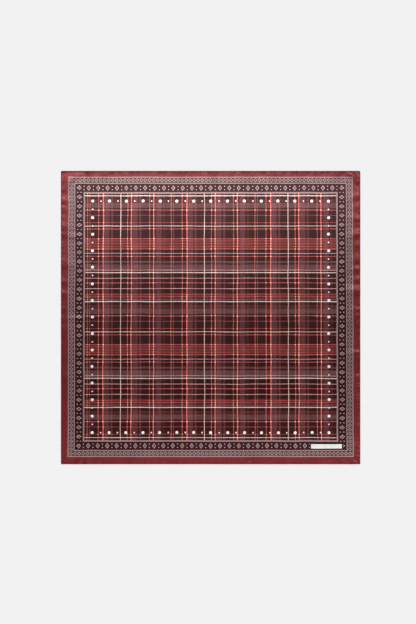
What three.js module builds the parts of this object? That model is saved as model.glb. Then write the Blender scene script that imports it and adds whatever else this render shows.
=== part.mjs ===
import * as THREE from "three";

// A square silk scarf laid out flat, one layer deep, with its hand-rolled hem. Millimetres. X runs across
// the scarf, Y up it as it is seen from above, and Z stands off the surface under it.

const WIDTH = 900;
const DEPTH = 882;
const CLOTH_THICKNESS = 1;
const CORNER_RADIUS = 4;
const CORNER_STEPS = 3;

// The hem is a small roll of the same cloth on the upper side, round in section. Its section goes from the
// bottom, out and over the top, in steps of one angle.
const HEM_WIDTH = 3.6;
const HEM_HEIGHT = 2.4;
const HEM_STEPS = 5;
const HEM_STEP_ANGLE = Math.PI / 4;

// The cloth is level further in than this. The rings of points from the hem to there lie closer near the
// hem.
const LEVEL_INSET = 90;
const UPPER_RINGS = 6;
const UNDER_RINGS = 4;
const RING_CROWDING = 1.4;

// Points along a side: none closer than the first, none further apart than the second.
const CLOSEST_POINTS = 5;
const WIDEST_POINTS = 40;
const CORNER_POINTS = [9, 18, 28, 40, 54];
const RIPPLE_POINTS = [-1, -0.5, 0, 0.5, 1];

// Soft ripples that run in from each side. at is the crest's place along the side (Y on the right and left,
// X at the top and bottom), half is half its width there, rise its height at the hem, and reach how far it
// runs into the cloth. lean carries the crest along the side as it runs in, as a share of the distance from
// the hem.
const RIPPLES = {
  right: [
    { at: 366, half: 17, rise: 2.4, reach: 48, lean: -0.15 },
    { at: 333, half: 16, rise: 1.9, reach: 40, lean: -0.1 },
    { at: 298, half: 19, rise: 2.6, reach: 52, lean: 0.1 },
    { at: 253, half: 20, rise: 2.5, reach: 56, lean: -0.2 },
    { at: 220, half: 15, rise: 0.9, reach: 30, lean: 0 },
    { at: 176, half: 20, rise: 1.8, reach: 50, lean: -0.1 },
    { at: 143, half: 16, rise: 2.3, reach: 44, lean: 0.15 },
    { at: 115, half: 14, rise: 1.9, reach: 40, lean: 0 },
    { at: 80, half: 19, rise: 2.8, reach: 72, lean: -0.1 },
    { at: -3, half: 48, rise: 1.5, reach: 60, lean: 0 },
    { at: -117, half: 40, rise: 1, reach: 46, lean: 0.1 },
    { at: -236, half: 17, rise: 0.8, reach: 32, lean: 0 },
    { at: -371, half: 24, rise: 1, reach: 36, lean: 0.1 },
  ],
  top: [
    { at: 376, half: 30, rise: 1.3, reach: 40, lean: -0.1 },
    { at: 317, half: 18, rise: 0.9, reach: 30, lean: 0 },
    { at: 262, half: 44, rise: 1.6, reach: 50, lean: 0.1 },
    { at: 191, half: 26, rise: 1.2, reach: 42, lean: 0 },
    { at: 105, half: 40, rise: 1.3, reach: 52, lean: -0.1 },
    { at: 60, half: 15, rise: 0.9, reach: 30, lean: 0 },
    { at: 7, half: 21, rise: 1.6, reach: 44, lean: 0.15 },
    { at: -58, half: 14, rise: 0.9, reach: 30, lean: 0 },
    { at: -85, half: 18, rise: 1, reach: 34, lean: 0 },
    { at: -313, half: 28, rise: 1.1, reach: 40, lean: -0.1 },
    { at: -361, half: 20, rise: 1.5, reach: 46, lean: 0.1 },
  ],
  left: [
    { at: 382, half: 14, rise: 0.9, reach: 30, lean: 0.1 },
    { at: 355, half: 18, rise: 1.6, reach: 44, lean: -0.1 },
    { at: 324, half: 16, rise: 1.3, reach: 36, lean: 0 },
    { at: 265, half: 42, rise: 1.4, reach: 54, lean: 0.1 },
    { at: 163, half: 20, rise: 2.3, reach: 52, lean: -0.1 },
    { at: 107, half: 20, rise: 1.1, reach: 38, lean: 0 },
    { at: 68, half: 17, rise: 1.2, reach: 40, lean: 0.1 },
    { at: 29, half: 16, rise: 0.9, reach: 32, lean: 0 },
    { at: -1, half: 15, rise: 1, reach: 34, lean: 0 },
    { at: -36, half: 17, rise: 0.9, reach: 32, lean: -0.1 },
    { at: -174, half: 38, rise: 0.8, reach: 40, lean: 0 },
    { at: -327, half: 46, rise: 1, reach: 44, lean: 0.1 },
  ],
  bottom: [
    { at: -222, half: 30, rise: 0.8, reach: 36, lean: 0 },
    { at: 60, half: 70, rise: 0.8, reach: 44, lean: 0.1 },
    { at: 208, half: 38, rise: 0.9, reach: 40, lean: 0 },
  ],
};

// Curved folds that turn round a corner of the cloth: the corner's side along X and Y, how far in from both
// hems the curve's middle lies, its radius, half its width and its rise. Each fades out over the same turn
// either way.
const CORNER_FOLD_TURN = Math.PI / 3;
const CORNER_FOLDS = [
  { x: 1, y: 1, middle: 44, radius: 37, half: 11, rise: 1.8 },
  { x: -1, y: 1, middle: 50, radius: 42, half: 13, rise: 1.5 },
];

// A short straight crease that runs in from a corner at 45 degrees: half its width, its rise and its reach.
const CORNER_CREASES = [{ x: 1, y: -1, half: 7, rise: 1.4, reach: 30 }];

// The four sides, anticlockwise from the right: the direction that faces out, the direction of travel, the
// distance of the hem from the middle, and half the length of the side without its corners.
const SIDES = ["right", "top", "left", "bottom"].map((name, quarter) => {
  const angle = (quarter * Math.PI) / 2;
  const upright = quarter % 2 === 0;
  const out = new THREE.Vector2(Math.round(Math.cos(angle)), Math.round(Math.sin(angle)));
  return {
    angle,
    upright,
    out,
    travel: new THREE.Vector2(-out.y, out.x),
    edge: (upright ? WIDTH : DEPTH) / 2,
    straight: (upright ? DEPTH : WIDTH) / 2 - CORNER_RADIUS,
    ripples: RIPPLES[name],
  };
});

// A round crest: 1 in its middle, 0 from a distance of 1 on.
function crest(distance) {
  return Math.abs(distance) < 1 ? 0.5 + 0.5 * Math.cos(Math.PI * distance) : 0;
}

// How high the cloth stands off the surface at a place on it.
function lift(x, y) {
  let height = 0;
  for (const side of SIDES) {
    const inset = side.edge - side.out.x * x - side.out.y * y;
    const along = side.upright ? y : x;
    for (const { at, half, rise, reach, lean } of side.ripples) {
      height += rise * crest((along - at - lean * inset) / half) * crest(inset / reach);
    }
  }
  for (const fold of CORNER_FOLDS) {
    const fromMiddleX = fold.x * x - (WIDTH / 2 - fold.middle);
    const fromMiddleY = fold.y * y - (DEPTH / 2 - fold.middle);
    const turn = Math.atan2(fromMiddleY, fromMiddleX) - Math.PI / 4;
    const across = (Math.hypot(fromMiddleX, fromMiddleY) - fold.radius) / fold.half;
    height += fold.rise * crest(across) * crest(turn / CORNER_FOLD_TURN);
  }
  for (const crease of CORNER_CREASES) {
    const insetX = WIDTH / 2 - crease.x * x;
    const insetY = DEPTH / 2 - crease.y * y;
    const across = (insetX - insetY) / Math.SQRT2 / crease.half;
    height += crease.rise * crest(across) * crest((insetX + insetY) / 2 / crease.reach);
  }
  return height;
}

// Where a side needs points, in order of travel, from -straight to straight.
function pointsAlong(side) {
  const places = [-side.straight, side.straight];
  for (const step of CORNER_POINTS) {
    places.push(step - side.straight, side.straight - step);
  }
  const way = side.upright ? side.travel.y : side.travel.x;
  for (const { at, half } of side.ripples) {
    for (const share of RIPPLE_POINTS) {
      places.push(way * (at + share * half));
    }
  }
  places.sort((a, b) => a - b);
  const kept = [-side.straight];
  for (const place of places) {
    const last = kept[kept.length - 1];
    const fits = place - last >= CLOSEST_POINTS && side.straight - place >= CLOSEST_POINTS;
    if (!fits && place !== side.straight) {
      continue;
    }
    const fills = Math.ceil((place - last) / WIDEST_POINTS);
    for (let fill = 1; fill <= fills; fill++) {
      kept.push(last + ((place - last) * fill) / fills);
    }
  }
  return kept;
}

// The stations of the outline: each has a place on a rectangle, as a share of its half sides, and the
// direction in which the outline stands off that rectangle by the corner's radius.
function outlineStations() {
  const stations = [];
  for (const side of SIDES) {
    for (const place of pointsAlong(side)) {
      const share = place / side.straight;
      stations.push({ share: side.out.clone().addScaledVector(side.travel, share), out: side.out });
    }
    for (let step = 1; step < CORNER_STEPS; step++) {
      const angle = side.angle + (step / CORNER_STEPS) * (Math.PI / 2);
      stations.push({
        share: side.out.clone().add(side.travel),
        out: new THREE.Vector2(Math.cos(angle), Math.sin(angle)),
      });
    }
  }
  return stations;
}

// The cloth's section from the middle of the underside, out round the hem and back to the middle of the
// upper side. Each point has its inset from the outline and its height above the underside.
function clothSection() {
  const inset = (ring, rings) => HEM_WIDTH + (LEVEL_INSET - HEM_WIDTH) * (ring / rings) ** RING_CROWDING;
  const section = [{ inset: WIDTH / 2, height: 0 }];
  for (let ring = UNDER_RINGS; ring > 0; ring--) {
    section.push({ inset: inset(ring, UNDER_RINGS), height: 0 });
  }
  for (let step = 0; step <= HEM_STEPS; step++) {
    const angle = step * HEM_STEP_ANGLE;
    section.push({
      inset: (HEM_WIDTH / 2) * (1 - Math.sin(angle)),
      height: (HEM_HEIGHT / 2) * (1 - Math.cos(angle)),
    });
  }
  for (let ring = 0; ring <= UPPER_RINGS; ring++) {
    section.push({ inset: inset(ring, UPPER_RINGS), height: CLOTH_THICKNESS });
  }
  section.push({ inset: WIDTH / 2, height: CLOTH_THICKNESS });
  return section;
}

// The section is turned once round the middle, with a step for each station. Every step is then laid out on
// its own station of the square outline, and lifted with the ripples.
function clothGeometry() {
  const stations = outlineStations();
  const section = clothSection();
  const profile = section.map(({ inset, height }) => new THREE.Vector2(WIDTH / 2 - inset, height));
  const geometry = new THREE.LatheGeometry(profile, stations.length);
  const points = geometry.getAttribute("position");
  for (let step = 0; step <= stations.length; step++) {
    const { share, out } = stations[step % stations.length];
    section.forEach(({ inset, height }, place) => {
      const centre = inset === WIDTH / 2;
      const x = centre ? 0 : share.x * (WIDTH / 2 - CORNER_RADIUS - inset) + out.x * CORNER_RADIUS;
      const y = centre ? 0 : share.y * (DEPTH / 2 - CORNER_RADIUS - inset) + out.y * CORNER_RADIUS;
      points.setXYZ(step * section.length + place, x, y, lift(x, y) + height);
    });
  }
  geometry.computeVertexNormals();
  return geometry;
}

const silk = new THREE.MeshStandardMaterial({
  name: "printed_silk",
  color: 0x7a373b,
  roughness: 0.42,
  metalness: 0,
  side: THREE.DoubleSide,
});

const cloth = new THREE.Mesh(clothGeometry(), silk);
cloth.name = "scarf_cloth";

const scarf = new THREE.Group();
scarf.name = "silk_scarf";
scarf.add(cloth);

export default scarf;
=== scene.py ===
import math
import random
from bisect import bisect

import bmesh
import bpy
from mathutils import Euler, Matrix, Vector, noise


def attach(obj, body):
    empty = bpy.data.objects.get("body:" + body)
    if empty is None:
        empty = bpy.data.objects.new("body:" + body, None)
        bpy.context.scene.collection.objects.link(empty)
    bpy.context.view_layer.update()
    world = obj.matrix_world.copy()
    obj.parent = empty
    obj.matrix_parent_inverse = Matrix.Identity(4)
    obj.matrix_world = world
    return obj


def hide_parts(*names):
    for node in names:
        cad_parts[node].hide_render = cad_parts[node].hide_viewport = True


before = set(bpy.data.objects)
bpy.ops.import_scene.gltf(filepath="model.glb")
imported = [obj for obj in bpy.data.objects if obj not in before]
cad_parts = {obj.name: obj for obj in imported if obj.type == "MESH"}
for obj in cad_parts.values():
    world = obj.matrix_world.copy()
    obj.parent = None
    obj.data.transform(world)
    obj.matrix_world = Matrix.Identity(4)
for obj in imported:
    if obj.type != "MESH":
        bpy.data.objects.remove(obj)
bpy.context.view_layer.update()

MM = 0.001

# The scarf's size in millimetres. X runs across it, Y up it, and Z stands off the floor.
WIDTH, DEPTH = 900, 882
SILK_THICKNESS = 0.35
CORNER_RADIUS = 4

# The hand-rolled hem, round in section. It stands on the upper side, and the cloth goes once round in it.
HEM_WIDTH, HEM_HEIGHT = 3.6, 2.4
HEM_STEPS = 8
HEM_TURN = math.radians(312)
HEM_CLOTH = (HEM_WIDTH + HEM_HEIGHT) / 4 * HEM_TURN

# At each stitch the roll is drawn in by this much, and pressed down by this share of its height.
ROLL_DRAWN_IN = 0.25
ROLL_PRESSED = 0.3

# The grid of the cloth in its middle. It is made twice as fine from each of these distances from the hem, and
# once more at the very corners and along the rim.
GRID_STEP = 12
FINE_INSETS = (76, 13)
CORNER_FINE = 8
RIM = 0.01

# Soft ripples that run in from each side: the crest's place along the side (Y on the right and left, X at
# the top and bottom), half its width, its height at the hem, how far it runs into the cloth, and how it
# leans along the side as it runs in.
RIPPLES = {
    "right": [
        (366, 20, 1.7, 48, -0.15), (333, 16, 1.3, 40, -0.1), (298, 19, 1.8, 52, 0.1), (253, 20, 2, 56, -0.2),
        (220, 15, 0.9, 30, 0), (176, 20, 1.5, 50, -0.1), (143, 16, 1.9, 44, 0.15), (115, 14, 1.9, 40, 0),
        (80, 19, 2.9, 76, 0.1), (22, 9, 1.6, 46, 0.1), (-3, 48, 1.5, 60, 0), (-103, 9, 2.2, 62, -0.1),
        (-121, 9, 1.2, 26, 0), (-117, 40, 1, 46, 0.1), (-177, 9, 2.5, 38, -0.1), (-190, 6, 1.1, 26, 0),
        (-202, 7, 1.4, 28, 0.1), (-236, 12, 1.9, 34, 0), (-267, 11, 1.9, 32, 0.1), (-309, 13, 2.4, 38, -0.1),
        (-371, 17, 2.5, 42, 0.1), (-396, 8, 1.5, 26, 0), (-411, 8, 1.6, 28, 0.1),
    ],
    "top": [
        (376, 30, 1.3, 40, -0.1), (317, 18, 0.9, 30, 0), (262, 44, 1.6, 50, 0.1), (191, 26, 1.2, 42, 0),
        (105, 40, 1.3, 52, -0.1), (60, 15, 0.9, 30, 0), (7, 21, 1.6, 44, 0.15), (-58, 14, 0.9, 30, 0),
        (-85, 18, 1, 34, 0), (-313, 28, 1.1, 40, -0.1), (-361, 20, 1.5, 46, 0.1),
    ],
    "left": [
        (382, 14, 0.8, 30, 0.1), (355, 18, 1.2, 44, -0.1), (324, 16, 1, 36, 0),
        (265, 42, 1.3, 54, 0.1), (163, 20, 1.6, 52, -0.1), (107, 20, 1.1, 38, 0), (68, 17, 1.1, 40, 0.1),
        (29, 16, 0.9, 32, 0), (-1, 15, 1, 34, 0), (-36, 17, 0.9, 32, -0.1), (-174, 38, 0.8, 40, 0),
        (-327, 46, 1, 44, 0.1),
    ],
    "bottom": [
        (-407, 14, 2.1, 34, 0.9), (-376, 13, 1.7, 32, 0.7), (-346, 14, 1.4, 32, 0.5), (-241, 9, 1.8, 32, 0.8),
        (-222, 30, 0.8, 36, 0), (-196, 11, 1.2, 28, 0.6), (-95, 14, 1, 30, -0.6), (60, 70, 0.8, 44, 0.1),
        (104, 12, 1.8, 32, 0.8), (129, 10, 1.7, 30, -0.7), (172, 10, 2, 34, 0.8), (208, 38, 0.9, 40, 0),
        (269, 11, 1.3, 28, -0.7), (314, 9, 1.7, 30, 0.7), (373, 13, 1.5, 32, -0.7), (389, 9, 1.9, 34, -0.9),
        (420, 12, 2.1, 32, -1),
    ],
}

# Curved folds round a corner: the corner's side along X and Y, how far in from both hems the curve's middle
# lies, its radius, half its width and its rise. Straight creases run in from a corner: the corner's side
# along X and Y, half the crease's width, its rise and its reach.
CORNER_FOLDS = [(1, 1, 44, 37, 13, 2.8), (-1, 1, 50, 42, 11, 2.2), (-1, 1, 70, 58, 9, 1.7)]
CORNER_FOLD_TURN = math.pi / 3
CORNER_CREASES = [(1, -1, 5, 3.2, 44), (-1, -1, 5, 1.6, 34)]

# Short low folds further in, across the printed bands: the middle along X and Y, half the size along X and Y,
# and the rise.
BAND_FOLDS = [
    (-404, -2, 38, 8, 2.5), (-412, 244, 28, 9, 1.4), (412, -107, 26, 9, 1.4), (404, -174, 26, 9, 0.9),
    (406, -405, 24, 8, 1.3),
]

# Low broad swells over the whole cloth: their height and the size of the noise that lays them out.
SWELLS = [(0.35, 90), (0.12, 34)]

# Small uneven waves along each side: their height at the hem, their size along the side, how far in they
# reach, and over what distance they change on the way in. A second set lifts the hem alone, and the cloth
# curls up a little towards it. Each side reads its own row of the noise, and the second set its own column.
EDGE_WAVES = {"right": 1.1, "top": 0.8, "left": 0.8, "bottom": 1.5}
EDGE_WAVE_SIZE = 13
EDGE_WAVE_REACH = 34
EDGE_WAVE_CHANGE = 50
HEM_WAVES = {"right": 0.5, "top": 1.3, "left": 0.7, "bottom": 1.1}
HEM_WAVE_REACH = 9
CURL_RISE, CURL_REACH = 0.3, 9
NOISE_ROW, HEM_NOISE_COLUMN = 7.3, 3.1

# The stitches that hold the hem's roll down: their mean distance, how far each strays, how far the first and
# the last stay from the corner, and how far along the roll each pulls it in. The cloth puckers up between
# them, by this height and as far in as this.
STITCH_PITCH = 13.2
STITCH_WANDER = 1.3
STITCH_END = 5
STITCH_PULL = 3.2
PUCKER_RISE = 0.25
PUCKER_REACH = 11

# Each stitch is a short thread that leans up over the inner foot of the roll: half its length, breadth and
# height, its middle's distance from the roll and from the cloth's underside, and its angles in degrees, with
# how far the slant varies.
STITCH_SIZE = (1.3, 0.24, 0.24)
STITCH_OUT, STITCH_UP = 0.25, 1.2
STITCH_TILT, STITCH_SLANT, SLANT_SPREAD = 42, 58, 9
STITCH_SIDES, STITCH_RINGS = 8, 5

# Where the random draws start, for the stitches' places and for their slants.
PLACE_SEED, SLANT_SEED = 27, 54

SIDES = {
    "right": Vector((1, 0)),
    "top": Vector((0, 1)),
    "left": Vector((-1, 0)),
    "bottom": Vector((0, -1)),
}


def side_edge(out):
    """How far the hem is from the middle on this side."""
    return WIDTH / 2 if out.x else DEPTH / 2


def side_along(out, x, y):
    """The place along a side: Y on the right and left, X at the top and bottom."""
    return y if out.x else x


def stitch_places():
    """Where the stitches are along each side, a little uneven as they are by hand."""
    random.seed(PLACE_SEED)
    places = {}
    for name, out in SIDES.items():
        half = side_edge(Vector((out.y, out.x))) - STITCH_END
        count = round(2 * half / STITCH_PITCH)
        pitch = 2 * half / count
        places[name] = [
            (i + 0.5) * pitch - half + random.uniform(-STITCH_WANDER, STITCH_WANDER) for i in range(count)
        ]
    return places


STITCHES = stitch_places()


def crest(distance):
    """A round crest: 1 in its middle, 0 from a distance of 1 on."""
    return 0.5 + 0.5 * math.cos(math.pi * distance) if abs(distance) < 1 else 0


def ripple_lift(x, y):
    """How high the ripples, folds and creases carry the cloth at a place on it."""
    height = 0
    for name, out in SIDES.items():
        inset = side_edge(out) - out.x * x - out.y * y
        along = side_along(out, x, y)
        for at, half, rise, reach, lean in RIPPLES[name]:
            height += rise * crest((along - at - lean * inset) / half) * crest(inset / reach)
    for side_x, side_y, middle, radius, half, rise in CORNER_FOLDS:
        from_x = side_x * x - (WIDTH / 2 - middle)
        from_y = side_y * y - (DEPTH / 2 - middle)
        turn = math.atan2(from_y, from_x) - math.pi / 4
        height += rise * crest((math.hypot(from_x, from_y) - radius) / half) * crest(turn / CORNER_FOLD_TURN)
    for side_x, side_y, half, rise, reach in CORNER_CREASES:
        inset_x, inset_y = WIDTH / 2 - side_x * x, DEPTH / 2 - side_y * y
        across = (inset_x - inset_y) / math.sqrt(2) / half
        height += rise * crest(across) * crest((inset_x + inset_y) / 2 / reach)
    for at_x, at_y, half_x, half_y, rise in BAND_FOLDS:
        height += rise * crest((x - at_x) / half_x) * crest((y - at_y) / half_y)
    return height


def stitch_pull(name, along):
    """1 at a stitch, 0 between two."""
    places = STITCHES[name]
    after = bisect(places, along)
    beside = places[max(after - 1, 0):after + 1]
    return max(crest((along - at) / STITCH_PULL) for at in beside)


def pucker(x, y):
    """The cloth beside the hem rises a little between the stitches."""
    name, out = min(SIDES.items(), key=lambda side: side_edge(side[1]) - side[1].x * x - side[1].y * y)
    inset = side_edge(out) - out.x * x - out.y * y
    if inset > PUCKER_REACH:
        return 0
    along = side_along(out, x, y)
    places = STITCHES[name]
    after = min(max(bisect(places, along), 1), len(places) - 1)
    share = (along - places[after - 1]) / (places[after] - places[after - 1])
    return PUCKER_RISE * math.sin(math.pi * min(max(share, 0), 1)) ** 2 * crest(inset / PUCKER_REACH)


def edge_waves(x, y):
    """Small waves that stand along the sides, and the curl of the cloth up towards its hem."""
    height = 0
    least = WIDTH
    for row, (name, out) in enumerate(SIDES.items()):
        inset = side_edge(out) - out.x * x - out.y * y
        least = min(least, inset)
        if inset < EDGE_WAVE_REACH:
            along = side_along(out, x, y) / EDGE_WAVE_SIZE
            wave = noise.noise(Vector((along, inset / EDGE_WAVE_CHANGE, NOISE_ROW * row)))
            hem_wave = noise.noise(Vector((along, HEM_NOISE_COLUMN, NOISE_ROW * row)))
            height += EDGE_WAVES[name] * wave * crest(inset / EDGE_WAVE_REACH)
            height += HEM_WAVES[name] * hem_wave * crest(inset / HEM_WAVE_REACH)
    return height + CURL_RISE * crest(least / CURL_REACH)


def cloth_lift(x, y):
    """The height of the cloth's underside off the floor."""
    height = max(ripple_lift(x, y) + pucker(x, y) + edge_waves(x, y), 0)
    for rise, size in SWELLS:
        height += rise * (0.5 + 0.5 * noise.noise(Vector((x / size, y / size, rise))))
    return height


def scarf_sheet():
    """The cloth: a level grid, drawn out at its rim and rolled over, and then lifted into its ripples."""
    bm = bmesh.new()
    base_x, base_y = WIDTH / 2 - HEM_WIDTH / 2, DEPTH / 2 - HEM_WIDTH / 2
    bmesh.ops.create_grid(
        bm, x_segments=round(2 * base_x / GRID_STEP), y_segments=round(2 * base_y / GRID_STEP), size=1
    )
    bmesh.ops.scale(bm, vec=(base_x, base_y, 1), verts=bm.verts)

    def inset(vert):
        return min(base_x - abs(vert.co.x), base_y - abs(vert.co.y))

    def corner_inset(vert):
        return max(base_x - abs(vert.co.x), base_y - abs(vert.co.y))

    finer = [(inset, limit) for limit in FINE_INSETS] + [(corner_inset, CORNER_FINE), (inset, RIM)]
    for measure, limit in finer:
        near = [edge for edge in bm.edges if all(measure(vert) < limit for vert in edge.verts)]
        bmesh.ops.subdivide_edges(bm, edges=near, cuts=1, use_grid_fill=True)

    # Each corner of the grid is drawn in to an arc, and every rim point knows which way is out.
    out_x = bm.verts.layers.float.new("out_x")
    out_y = bm.verts.layers.float.new("out_y")
    turned = bm.verts.layers.float.new("turned")
    arc = CORNER_RADIUS - HEM_WIDTH / 2
    for vert in bm.verts:
        a, b = abs(vert.co.x) - (base_x - arc), abs(vert.co.y) - (base_y - arc)
        on_rim = inset(vert) < RIM
        out = Vector((a > b, b > a)) if on_rim else Vector((0, 0))
        if a > 0 and b > 0:
            far = math.hypot(a, b)
            shrink = max(a, b) / far
            if on_rim:
                out = Vector((a, b)) / far
            vert.co.x = math.copysign(base_x - arc + a * shrink, vert.co.x)
            vert.co.y = math.copysign(base_y - arc + b * shrink, vert.co.y)
        vert[out_x] = math.copysign(out.x, vert.co.x)
        vert[out_y] = math.copysign(out.y, vert.co.y)

    rim = [edge for edge in bm.edges if edge.is_boundary]
    for step in range(1, HEM_STEPS + 1):
        drawn = bmesh.ops.extrude_edge_only(bm, edges=rim)["geom"]
        new_verts = {part for part in drawn if isinstance(part, bmesh.types.BMVert)}
        new_edges = [part for part in drawn if isinstance(part, bmesh.types.BMEdge)]
        rim = [edge for edge in new_edges if set(edge.verts) <= new_verts]
        for vert in new_verts:
            vert[turned] = HEM_TURN * step / HEM_STEPS
    bmesh.ops.reverse_faces(bm, faces=bm.faces)

    # The print's map: where each point was on the cloth when it still lay flat.
    print_map = bm.loops.layers.uv.new("OFBake")
    for face in bm.faces:
        face.smooth = True
        for loop in face.loops:
            vert = loop.vert
            reach = HEM_CLOTH * vert[turned] / HEM_TURN
            flat = Vector((vert.co.x + vert[out_x] * reach, vert.co.y + vert[out_y] * reach))
            loop[print_map].uv = flat / PRINT_MAP + Vector((0.5, 0.5))

    for vert in bm.verts:
        x, y, angle = vert.co.x, vert.co.y, vert[turned]
        lift = cloth_lift(x, y)
        if vert[out_x] or vert[out_y]:
            name = max(SIDES, key=lambda side: SIDES[side].x * vert[out_x] + SIDES[side].y * vert[out_y])
            pull = stitch_pull(name, side_along(SIDES[name], x, y))
            reach = HEM_WIDTH / 2 * math.sin(angle) - ROLL_DRAWN_IN * pull * (1 - math.cos(angle)) / 2
            x += vert[out_x] * reach
            y += vert[out_y] * reach
            lift += HEM_HEIGHT / 2 * (1 - math.cos(angle)) * (1 - ROLL_PRESSED * pull)
        vert.co = (x * MM, y * MM, lift * MM)

    sheet = bpy.data.objects.new("silk_cloth", bpy.data.meshes.new("silk_cloth"))
    bpy.context.scene.collection.objects.link(sheet)
    bm.to_mesh(sheet.data)
    bm.free()
    thick = sheet.modifiers.new("silk_thickness", "SOLIDIFY")
    thick.thickness = SILK_THICKNESS * MM
    thick.offset = -1
    thick.use_even_offset = True
    return sheet


def hem_stitches():
    """One small slanted thread at each stitch, from the cloth up over the inner foot of the hem's roll."""
    random.seed(SLANT_SEED)
    bm = bmesh.new()
    for name, out in SIDES.items():
        edge = side_edge(out)
        travel = math.atan2(out.x, -out.y)
        for along in STITCHES[name]:
            inset = HEM_WIDTH + STITCH_OUT
            x = out.x * (edge - inset) + (along if out.y else 0)
            y = out.y * (edge - inset) + (along if out.x else 0)
            place = Vector((x, y, cloth_lift(x, y) + STITCH_UP))
            slant = travel - math.radians(STITCH_SLANT + random.uniform(-SLANT_SPREAD, SLANT_SPREAD))
            turn = Euler((0, -math.radians(STITCH_TILT), slant)).to_matrix().to_4x4()
            size = Matrix.Diagonal((*STITCH_SIZE, 1))
            bmesh.ops.create_uvsphere(
                bm,
                u_segments=STITCH_SIDES,
                v_segments=STITCH_RINGS,
                radius=1,
                matrix=Matrix.Translation(place) @ turn @ size,
            )
    bmesh.ops.scale(bm, vec=(MM, MM, MM), verts=bm.verts)
    for face in bm.faces:
        face.smooth = True
    threads = bpy.data.objects.new("hem_stitches", bpy.data.meshes.new("hem_stitches"))
    bpy.context.scene.collection.objects.link(threads)
    bm.to_mesh(threads.data)
    bm.free()
    return threads


# The print. Its map covers a square of this size, in millimetres, round the middle of the flat cloth.
PRINT_MAP = 920

# The print's own frame: half its width and height at the outer line, how far up it sits, and by what share
# it gets narrower for each millimetre up. It also wanders by this much, across and up, in slow waves.
PRINT_HALF_X, PRINT_HALF_Y = 426.9, 419.5
PRINT_UP = 2.2
PRINT_TAPER = 8e-06
WANDER_ACROSS, WANDER_UP, WANDER_SCALE = 3.2, 2.4, 0.011

# Lines and bands, by how far they lie in from the outer line.
OUTER_LINE, MIDDLE_LINE, INNER_LINE = 0, 18, 46.4
OUTER_LINE_WIDTH, MIDDLE_LINE_WIDTH, INNER_LINE_WIDTH = 3.2, 2.8, 4.4
CHAIN_AT, LOZENGES_AT, BEADS_AT = 9, 32, 71.5
CHAIN_COUNT, LOZENGE_COUNT, BEAD_COUNT = 34, 28, 14

# The radii of the large and small beads.
BEAD_LARGE, BEAD_SMALL = 4.4, 2.2

# A lozenge's half length along its band and across it. Its ring and its core are given as shares of its size,
# the ring by its middle and half its width. Two spots stand between each two, this far off the band's middle.
LOZENGE_LONG, LOZENGE_WIDE = 6.0, 8.0
LOZENGE_RING, LOZENGE_CORE = (0.84, 0.16), 0.20
SPOT_OFF, SPOT_RADIUS = 5, 1.6
LOZENGE_BAND = 11

# The chain of small rings in the outer band: half a link's width across the band, and its ring.
CHAIN_WIDE = 6.6
CHAIN_RING = (0.76, 0.18)
CHAIN_BAND = 7.2
RING_SOFT = 0.05

# Dyes, as the share of red, green and blue light that the silk gives back.
DYES = {
    "border": (0.128, 0.0105, 0.0125),
    "line": (0.26, 0.16, 0.16),
    "band": (0.0250, 0.0006, 0.0016),
    "fine_band": (0.062, 0.028, 0.030),
    "ring": (0.30, 0.195, 0.195),
    "motif": (0.41, 0.295, 0.29),
    "ground": (0.0105, 0.0006, 0.0004),
    "dusk": (0.032, 0.0070, 0.0070),
    "mauve": (0.064, 0.0190, 0.0215),
    "heather": (0.080, 0.032, 0.031),
    "russet": (0.062, 0.0085, 0.0075),
    "rust": (0.088, 0.0125, 0.0110),
    "madder": (0.23, 0.037, 0.034),
    "brick": (0.35, 0.058, 0.053),
    "coral": (0.56, 0.100, 0.085),
    "rose": (0.47, 0.24, 0.235),
    "cream": (0.52, 0.395, 0.36),
    "white": (0.70, 0.69, 0.66),
    "bare": (0.57, 0.565, 0.56),
    "glow": (1.0, 0.78, 0.62),
    "thread_dark": (0.085, 0.009, 0.011),
    "thread_light": (0.155, 0.026, 0.030),
}

# The check. The stripes that stand up the cloth repeat after one length, those that lie across it after
# another. A band is given by where it ends and its dye, a line by its middle, its width, its dye and how
# brightly it shows where it crosses another.
UPRIGHT_REPEAT, UPRIGHT_START = 252, 73.4
UPRIGHT_BANDS = [
    (5, "ground"), (20, "mauve"), (25, "ground"), (31, "mauve"), (90, "ground"), (106, "mauve"),
    (111, "ground"), (117, "mauve"), (158, "ground"), (162, "dusk"), (177, "mauve"), (182, "ground"),
    (188, "dusk"), (252, "ground"),
]
UPRIGHT_LINES = [
    (2.5, 3.3, "coral", 1), (55, 1.9, "cream", 0.6), (76, 2.2, "brick", 1), (87, 3, "coral", 1),
    (142, 2, "brick", 0.8), (154, 3, "coral", 1), (207, 2, "brick", 0.6), (214, 1.5, "madder", 0.2),
    (240, 2.2, "brick", 1),
]
LEVEL_REPEAT, LEVEL_START = 318, 187
LEVEL_BANDS = [
    (9, "ground"), (26, "heather"), (31, "ground"), (37, "heather"), (73, "ground"), (104, "rust"),
    (196, "ground"), (210, "heather"), (216, "dusk"), (222, "russet"), (248, "ground"), (258, "rust"),
    (318, "ground"),
]
LEVEL_LINES = [
    (2, 2.7, "cream", 0.9), (9.5, 1.7, "rose", 0.7), (51, 2, "brick", 1), (60, 1.7, "rose", 0.5),
    (73, 2.4, "brick", 1), (81, 1.8, "madder", 0.6), (89, 1.8, "madder", 0.6), (97, 1.8, "madder", 0.6),
    (104, 2.2, "brick", 1), (133, 2, "brick", 0.8), (142, 1.8, "cream", 0.8), (152, 1.8, "madder", 0.5),
    (174, 1.6, "madder", 0.4), (190, 2.4, "brick", 1), (233, 2.7, "cream", 1), (240, 1.8, "brick", 0.8),
    (247, 2, "brick", 0.8), (254, 1.8, "madder", 0.6), (272, 1.7, "rose", 0.6), (289, 2.2, "brick", 0.9),
    (303, 1.7, "rose", 0.6),
]

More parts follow.
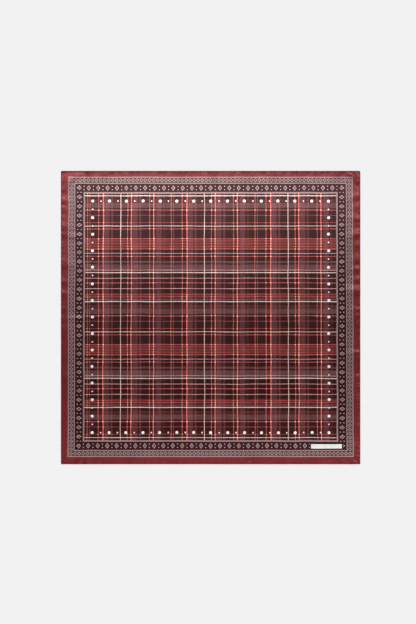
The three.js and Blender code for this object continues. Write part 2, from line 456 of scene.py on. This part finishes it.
# The bare white patch in the lower right of the band: its middle, its half sizes, and how far from it the
# motifs stop.
PATCH_AT = (346.7, -387)
PATCH_HALF = (46.3, 6.6)
PATCH_CLEAR = (4, 6)

# How unevenly the dyes lie, as the least and the most of each: in the warp, in the weft, in the check's
# mottle, over the whole cloth and from thread to thread. The streaks are drawn out along their threads.
WARP_DYE, WEFT_DYE = (0.45, 1.55), (0.55, 1.45)
MOTTLE, MOTTLE_SCALE = (0.55, 1.45), 0.3
CLOUD, CLOUD_SCALE = (0.86, 1.14), 0.02
THREAD_DYE = (0.88, 1.12)
STREAK_FINE, STREAK_LONG = 0.42, 0.012

# The silk's gloss, and the ribs of its twill.
GLOSS = (0.39, 0.47)
SILK_SHEEN, SILK_LUSTRE = 0.3, 0.4
RIB_ANGLE, RIB_SCALE, RIB_WAVER = 62, 0.9, 0.6
THREAD_RELIEF, RIB_RELIEF, RELIEF = 1.5, 0.3, 0.25
RELIEF_DEPTH = 0.0001

# The stitches' thread, and the twist of its strands.
THREAD_TONE_SCALE, THREAD_ROUGHNESS = 900.0, 0.5
TWIST_ANGLE, TWIST_SCALE, TWIST_RELIEF = 35, 1500.0, 0.4


class Pattern:
    """The nodes of one material, with a few short words for the sums that lay out a print."""

    def __init__(self, name):
        self.material = bpy.data.materials.new(name)
        self.material.use_nodes = True
        self.tree = self.material.node_tree
        self.shader = self.tree.nodes["Principled BSDF"]

    def feed(self, socket, value):
        """Link another node's output to the socket, or set a plain value on it."""
        if isinstance(value, bpy.types.NodeSocket):
            self.tree.links.new(value, socket)
        else:
            socket.default_value = value

    def node(self, kind, inputs=(), **settings):
        """A new node with its inputs fed and its settings made."""
        made = self.tree.nodes.new("ShaderNode" + kind)
        for name, value in settings.items():
            setattr(made, name, value)
        for name, value in dict(inputs).items():
            self.feed(made.inputs[name], value)
        return made

    def sum(self, operation, a, b=0.0, c=0.0):
        return self.node("Math", {0: a, 1: b, 2: c}, operation=operation).outputs[0]

    def root(self, a, b):
        """The distance from a point that lies a one way and b the other."""
        return self.sum("SQRT", self.sum("ADD", self.sum("POWER", a, 2), self.sum("POWER", b, 2)))

    def spread(self, value, least, most, full=1.0):
        """From the least where the value is 0 to the most where it is full."""
        made = self.node("MapRange", {"Value": value, "From Max": full, "To Min": least, "To Max": most})
        return made.outputs["Result"]

    def within(self, value, limit, soft=0.35):
        """1 where the value is under the limit, 0 over it, with a soft edge."""
        made = self.node(
            "MapRange",
            {"Value": value, "From Min": limit + soft, "From Max": limit - soft},
            interpolation_type="SMOOTHSTEP",
        )
        return made.outputs["Result"]

    def around(self, value, middle, half, soft=0.35):
        """1 where the value is within half of the middle."""
        return self.within(self.sum("ABSOLUTE", self.sum("SUBTRACT", value, middle)), half, soft)

    def mix(self, share, under, over, blend="MIX"):
        made = self.node("Mix", data_type="RGBA", blend_type=blend)
        ports = {port.identifier: port for port in made.inputs}
        self.feed(ports["Factor_Float"], share)
        self.feed(ports["A_Color"], under)
        self.feed(ports["B_Color"], over)
        return next(port for port in made.outputs if port.identifier == "Result_Color")

    def dye(self, name):
        return (*DYES[name], 1)

    def noise(self, place, scale, detail=2.0, roughness=0.5):
        made = self.node(
            "TexNoise",
            {"Vector": place, "Scale": scale, "Detail": detail, "Roughness": roughness},
            noise_dimensions="2D",
        )
        return made.outputs[0]

    def stretched(self, place, x, y, turn=0.0):
        made = self.node("Mapping", {"Vector": place, "Scale": (x, y, 1), "Rotation": (0, 0, turn)})
        return made.outputs["Vector"]


def stripe_set(p, place, repeat, bands, lines):
    """The stripes along one way of the cloth: their colour, and how brightly they show at a crossing."""
    at = p.sum("WRAP", place, repeat)
    ramp = p.node("ValToRGB", {"Fac": p.sum("DIVIDE", at, repeat)})
    ramp.color_ramp.interpolation = "CONSTANT"
    start = 0
    stops = ramp.color_ramp.elements
    stops.remove(stops[1])
    for index, (end, dye) in enumerate(bands):
        stop = stops[0] if index == 0 else stops.new(start / repeat)
        stop.position = start / repeat
        stop.color = p.dye(dye)
        start = end
    colour = ramp.outputs["Color"]
    bright = 0.0
    for middle, width, dye, strength in lines:
        cover = p.sum("COMPARE", at, middle, width / 2)
        colour = p.mix(cover, colour, p.dye(dye))
        bright = p.sum("MULTIPLY_ADD", cover, strength, bright)
    return colour, bright


def printed_silk():
    """The printed silk: a red border, two fine bands, and a check with a row of beads round it."""
    p = Pattern("printed_silk")
    uv = p.node("UVMap", uv_map="OFBake").outputs["UV"]
    half = PRINT_MAP / 2
    whole = {"Vector": uv, "Location": (-half, -half, 0), "Scale": (PRINT_MAP, PRINT_MAP, 1)}
    flat = p.node("Mapping", whole).outputs["Vector"]

    # Silk never takes a print dead straight: it wanders, and the whole print is a little narrower at the top.
    wander = p.node("TexNoise", {"Vector": flat, "Scale": WANDER_SCALE, "Detail": 1.5}, noise_dimensions="2D")
    wander = p.node("VectorMath", {0: wander.outputs["Color"], 1: (0.5, 0.5, 0.5)}, operation="SUBTRACT")
    flat_xy = p.node("SeparateXYZ", {0: flat})
    wander = p.node("SeparateXYZ", {0: wander.outputs[0]})
    across = p.sum("MULTIPLY_ADD", wander.outputs["X"], WANDER_ACROSS, flat_xy.outputs["X"])
    up = p.sum("MULTIPLY_ADD", wander.outputs["Y"], WANDER_UP, flat_xy.outputs["Y"])
    narrow = p.sum("MULTIPLY_ADD", up, PRINT_TAPER, 1.0)
    across = p.sum("MULTIPLY", across, narrow)
    up = p.sum("SUBTRACT", up, PRINT_UP)

    # How far in a place lies from the print's outer line, and how far along its side.
    inset_x = p.sum("SUBTRACT", PRINT_HALF_X, p.sum("ABSOLUTE", across))
    inset_y = p.sum("SUBTRACT", PRINT_HALF_Y, p.sum("ABSOLUTE", up))
    inset = p.sum("MINIMUM", inset_x, inset_y)
    on_sides = p.sum("LESS_THAN", inset_x, inset_y)
    along = p.node("Mix", {0: on_sides, 2: across, 3: up}).outputs[0]
    side_half = p.node("Mix", {0: on_sides, 2: PRINT_HALF_X, 3: PRINT_HALF_Y}).outputs[0]

    def motif_place(band, count, fold=1.0):
        """How far a place is along its band from a motif's middle, and half the distance between two.

        With a fold of 0.5 the motifs stand twice as close.
        """
        length = p.sum("SUBTRACT", side_half, band)
        turn = p.sum("MULTIPLY", p.sum("DIVIDE", along, length), count)
        pitch = (PRINT_HALF_X - band) / count
        return p.sum("MULTIPLY", p.sum("PINGPONG", turn, fold), pitch), pitch * fold

    # Threads: fine streaks of darker and lighter dye along the warp and the weft.
    warp_streak = p.noise(p.stretched(flat, STREAK_FINE, STREAK_LONG), 1.0)
    weft_streak = p.noise(p.stretched(flat, STREAK_LONG, STREAK_FINE), 1.0)
    cloud = p.noise(flat, CLOUD_SCALE, 3.0)

    # The check.
    warp_dye, warp_line = stripe_set(
        p, p.sum("ADD", across, UPRIGHT_START), UPRIGHT_REPEAT, UPRIGHT_BANDS, UPRIGHT_LINES
    )
    weft_dye, weft_line = stripe_set(p, p.sum("ADD", up, LEVEL_START), LEVEL_REPEAT, LEVEL_BANDS, LEVEL_LINES)
    warp_dye = p.mix(1.0, warp_dye, p.spread(warp_streak, *WARP_DYE), "MULTIPLY")
    weft_dye = p.mix(1.0, weft_dye, p.spread(weft_streak, *WEFT_DYE), "MULTIPLY")
    check = p.mix(1.0, warp_dye, weft_dye, "SCREEN")
    check = p.mix(1.0, check, p.spread(p.noise(flat, MOTTLE_SCALE), *MOTTLE), "MULTIPLY")
    crossing = p.sum("MULTIPLY", warp_line, weft_line)
    check = p.mix(crossing, check, p.dye("glow"))

    # A row of round beads, large and small in turn.
    near, pitch = motif_place(BEADS_AT, BEAD_COUNT)
    off = p.sum("SUBTRACT", inset, BEADS_AT)
    large = p.within(p.root(near, off), BEAD_LARGE)
    small = p.within(p.root(p.sum("SUBTRACT", pitch, near), off), BEAD_SMALL)
    beads = p.sum("MAXIMUM", large, small)
    colour = p.mix(beads, check, p.dye("white"))

    # The bands round the check, from the inside out.
    colour = p.mix(p.within(inset, INNER_LINE), colour, p.dye("band"))
    colour = p.mix(p.within(inset, MIDDLE_LINE), colour, p.dye("fine_band"))
    patch_x = p.sum("ABSOLUTE", p.sum("SUBTRACT", across, PATCH_AT[0]))
    patch_y = p.sum("ABSOLUTE", p.sum("SUBTRACT", up, PATCH_AT[1] - PRINT_UP))
    near_patch = p.sum(
        "MULTIPLY",
        p.within(patch_x, PATCH_HALF[0] + PATCH_CLEAR[0]),
        p.within(patch_y, PATCH_HALF[1] + PATCH_CLEAR[1]),
    )

    near, pitch = motif_place(LOZENGES_AT, LOZENGE_COUNT)
    off = p.sum("ABSOLUTE", p.sum("SUBTRACT", inset, LOZENGES_AT))
    size = p.sum("ADD", p.sum("DIVIDE", near, LOZENGE_LONG), p.sum("DIVIDE", off, LOZENGE_WIDE))
    ring, core = p.around(size, *LOZENGE_RING, RING_SOFT), p.within(size, LOZENGE_CORE, RING_SOFT)
    motifs = p.sum("MAXIMUM", ring, core)
    spot = p.root(p.sum("SUBTRACT", pitch, near), p.sum("SUBTRACT", off, SPOT_OFF))
    motifs = p.sum("MAXIMUM", motifs, p.within(spot, SPOT_RADIUS))
    motifs = p.sum("MULTIPLY", motifs, p.around(inset, LOZENGES_AT, LOZENGE_BAND))
    motifs = p.sum("MULTIPLY", motifs, p.sum("SUBTRACT", 1.0, near_patch))

    near, pitch = motif_place(CHAIN_AT, CHAIN_COUNT, 0.5)
    off = p.sum("ABSOLUTE", p.sum("SUBTRACT", inset, CHAIN_AT))
    size = p.sum("ADD", p.sum("DIVIDE", near, pitch), p.sum("DIVIDE", off, CHAIN_WIDE))
    chain = p.around(size, *CHAIN_RING, RING_SOFT)
    chain = p.sum("MULTIPLY", chain, p.around(inset, CHAIN_AT, CHAIN_BAND))
    colour = p.mix(motifs, colour, p.dye("motif"))
    colour = p.mix(chain, colour, p.dye("ring"))

    patch = p.sum("MULTIPLY", p.within(patch_x, PATCH_HALF[0]), p.within(patch_y, PATCH_HALF[1]))
    colour = p.mix(patch, colour, p.dye("bare"))

    colour = p.mix(p.within(inset, OUTER_LINE), colour, p.dye("border"))
    lines = p.around(inset, OUTER_LINE, OUTER_LINE_WIDTH / 2)
    lines = p.sum("MAXIMUM", lines, p.around(inset, MIDDLE_LINE, MIDDLE_LINE_WIDTH / 2))
    lines = p.sum("MAXIMUM", lines, p.around(inset, INNER_LINE, INNER_LINE_WIDTH / 2))
    colour = p.mix(lines, colour, p.dye("line"))

    # The dye lies a little uneven everywhere.
    colour = p.mix(1.0, colour, p.spread(cloud, *CLOUD), "MULTIPLY")
    threads = p.spread(p.sum("MULTIPLY", warp_streak, weft_streak), *THREAD_DYE, full=0.5)
    colour = p.mix(1.0, colour, threads, "MULTIPLY")
    p.feed(p.shader.inputs["Base Color"], colour)

    # The gloss of twill, and its fine slanting ribs.
    p.feed(p.shader.inputs["Roughness"], p.spread(cloud, *GLOSS))
    p.shader.inputs["Specular IOR Level"].default_value = SILK_SHEEN
    p.shader.inputs["Metallic"].default_value = SILK_LUSTRE
    slant = p.stretched(flat, 1, 1, math.radians(RIB_ANGLE))
    ribs = p.node(
        "TexWave",
        {"Vector": slant, "Scale": RIB_SCALE, "Distortion": RIB_WAVER, "Detail": 1.0},
        wave_type="BANDS",
    ).outputs["Fac"]
    grain = p.sum("MULTIPLY_ADD", threads, THREAD_RELIEF, p.sum("MULTIPLY", ribs, RIB_RELIEF))
    bump = p.node("Bump", {"Strength": RELIEF, "Distance": RELIEF_DEPTH, "Height": grain})
    p.feed(p.shader.inputs["Normal"], bump.outputs["Normal"])
    return p.material


def thread_finish():
    """The dark red silk thread of the hem's stitches, with the twist of its strands."""
    p = Pattern("hem_thread")
    place = p.node("TexCoord").outputs["Object"]
    tone = p.node("TexNoise", {"Vector": place, "Scale": THREAD_TONE_SCALE, "Detail": 2.0}).outputs[0]
    p.feed(p.shader.inputs["Base Color"], p.mix(tone, p.dye("thread_dark"), p.dye("thread_light")))
    p.shader.inputs["Roughness"].default_value = THREAD_ROUGHNESS
    p.shader.inputs["Specular IOR Level"].default_value = SILK_SHEEN
    slant = p.stretched(place, 1, 1, math.radians(TWIST_ANGLE))
    twist = p.node("TexWave", {"Vector": slant, "Scale": TWIST_SCALE}, wave_type="BANDS").outputs["Fac"]
    bump = p.node("Bump", {"Strength": TWIST_RELIEF, "Distance": RELIEF_DEPTH, "Height": twist})
    p.feed(p.shader.inputs["Normal"], bump.outputs["Normal"])
    return p.material


# The studio: a camera straight above, a pale floor that glows a little itself, a soft surround, and two long
# soft lights beyond the top and the bottom of the scarf. Metres and watts.
CAMERA_AT = Vector((-0.0078, 0.0168, 5.21))
CAMERA_LENS, CAMERA_SENSOR = 100, 36
FLOOR_SIZE, FLOOR_BELOW = 12, 0.0003
FLOOR_TONES, FLOOR_TONE_SCALE = (0.795, 0.805), 1.5
FLOOR_ROUGHNESS = 0.9
FLOOR_GLOW = 0.792
AMBIENT = 0.12
BACKDROP = 0.888

LIGHTS = [
    # name, place, point it faces, length, width, power
    ("top_strip", (-0.06, 0.88, 1.4), (-0.03, 0.273, 0), 1.8, 0.25, 38.5),
    ("bottom_strip", (0.105, -0.6, 0.238), (0.05, 0.5, 0), 1.5, 0.25, 5.6),
]


def camera():
    """A long lens straight above the scarf."""
    made = bpy.data.objects.new("camera", bpy.data.cameras.new("camera"))
    bpy.context.scene.collection.objects.link(made)
    made.location = CAMERA_AT
    made.data.lens = CAMERA_LENS
    made.data.sensor_width = CAMERA_SENSOR
    bpy.context.scene.camera = made


def floor():
    """The pale surface that the scarf lies on."""
    bm = bmesh.new()
    bmesh.ops.create_grid(bm, x_segments=1, y_segments=1, size=FLOOR_SIZE)
    bmesh.ops.translate(bm, vec=(0, 0, -FLOOR_BELOW), verts=bm.verts)
    made = bpy.data.objects.new("floor", bpy.data.meshes.new("floor"))
    bpy.context.scene.collection.objects.link(made)
    bm.to_mesh(made.data)
    bm.free()
    p = Pattern("pale_floor")
    place = p.node("TexCoord").outputs["Object"]
    dark, light = ((tone, tone, tone, 1) for tone in FLOOR_TONES)
    p.feed(p.shader.inputs["Base Color"], p.mix(p.noise(place, FLOOR_TONE_SCALE), dark, light))
    p.shader.inputs["Roughness"].default_value = FLOOR_ROUGHNESS
    p.shader.inputs["Specular IOR Level"].default_value = 0.0
    p.shader.inputs["Emission Color"].default_value = (1, 1, 1, 1)
    p.shader.inputs["Emission Strength"].default_value = FLOOR_GLOW
    made.data.materials.append(p.material)


def studio_light(lit):
    """Strips that light the scarf alone, so the floor stays even, and a surround that is seen as brighter."""
    cloths = bpy.data.collections.new("lit_by_strips")
    for piece in lit:
        cloths.objects.link(piece)
    for name, place, target, length, width, power in LIGHTS:
        lamp = bpy.data.lights.new(name, "AREA")
        lamp.shape = "RECTANGLE"
        lamp.size, lamp.size_y = length, width
        lamp.energy = power
        made = bpy.data.objects.new(name, lamp)
        bpy.context.scene.collection.objects.link(made)
        made.location = place
        way = Vector(target) - Vector(place)
        made.rotation_euler = way.to_track_quat("-Z", "Y").to_euler()
        made.visible_camera = False
        made.light_linking.receiver_collection = cloths
    world = bpy.data.worlds.new("soft_surround")
    bpy.context.scene.world = world
    world.use_nodes = True
    tree = world.node_tree
    around = tree.nodes["Background"]
    around.inputs["Color"].default_value = (1, 1, 1, 1)
    seen = tree.nodes.new("ShaderNodeLightPath")
    level = tree.nodes.new("ShaderNodeMapRange")
    level.inputs["To Min"].default_value = AMBIENT
    level.inputs["To Max"].default_value = BACKDROP
    tree.links.new(seen.outputs["Is Camera Ray"], level.inputs["Value"])
    tree.links.new(level.outputs["Result"], around.inputs["Strength"])


camera()
floor()

sheet = scarf_sheet()
sheet.data.materials.append(printed_silk())
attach(sheet, "root")
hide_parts("scarf_cloth")

threads = hem_stitches()
threads.data.materials.append(thread_finish())
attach(threads, "root")

studio_light([sheet, threads])

scene = bpy.context.scene
scene.view_settings.view_transform = "Standard"
scene.view_settings.look = "None"
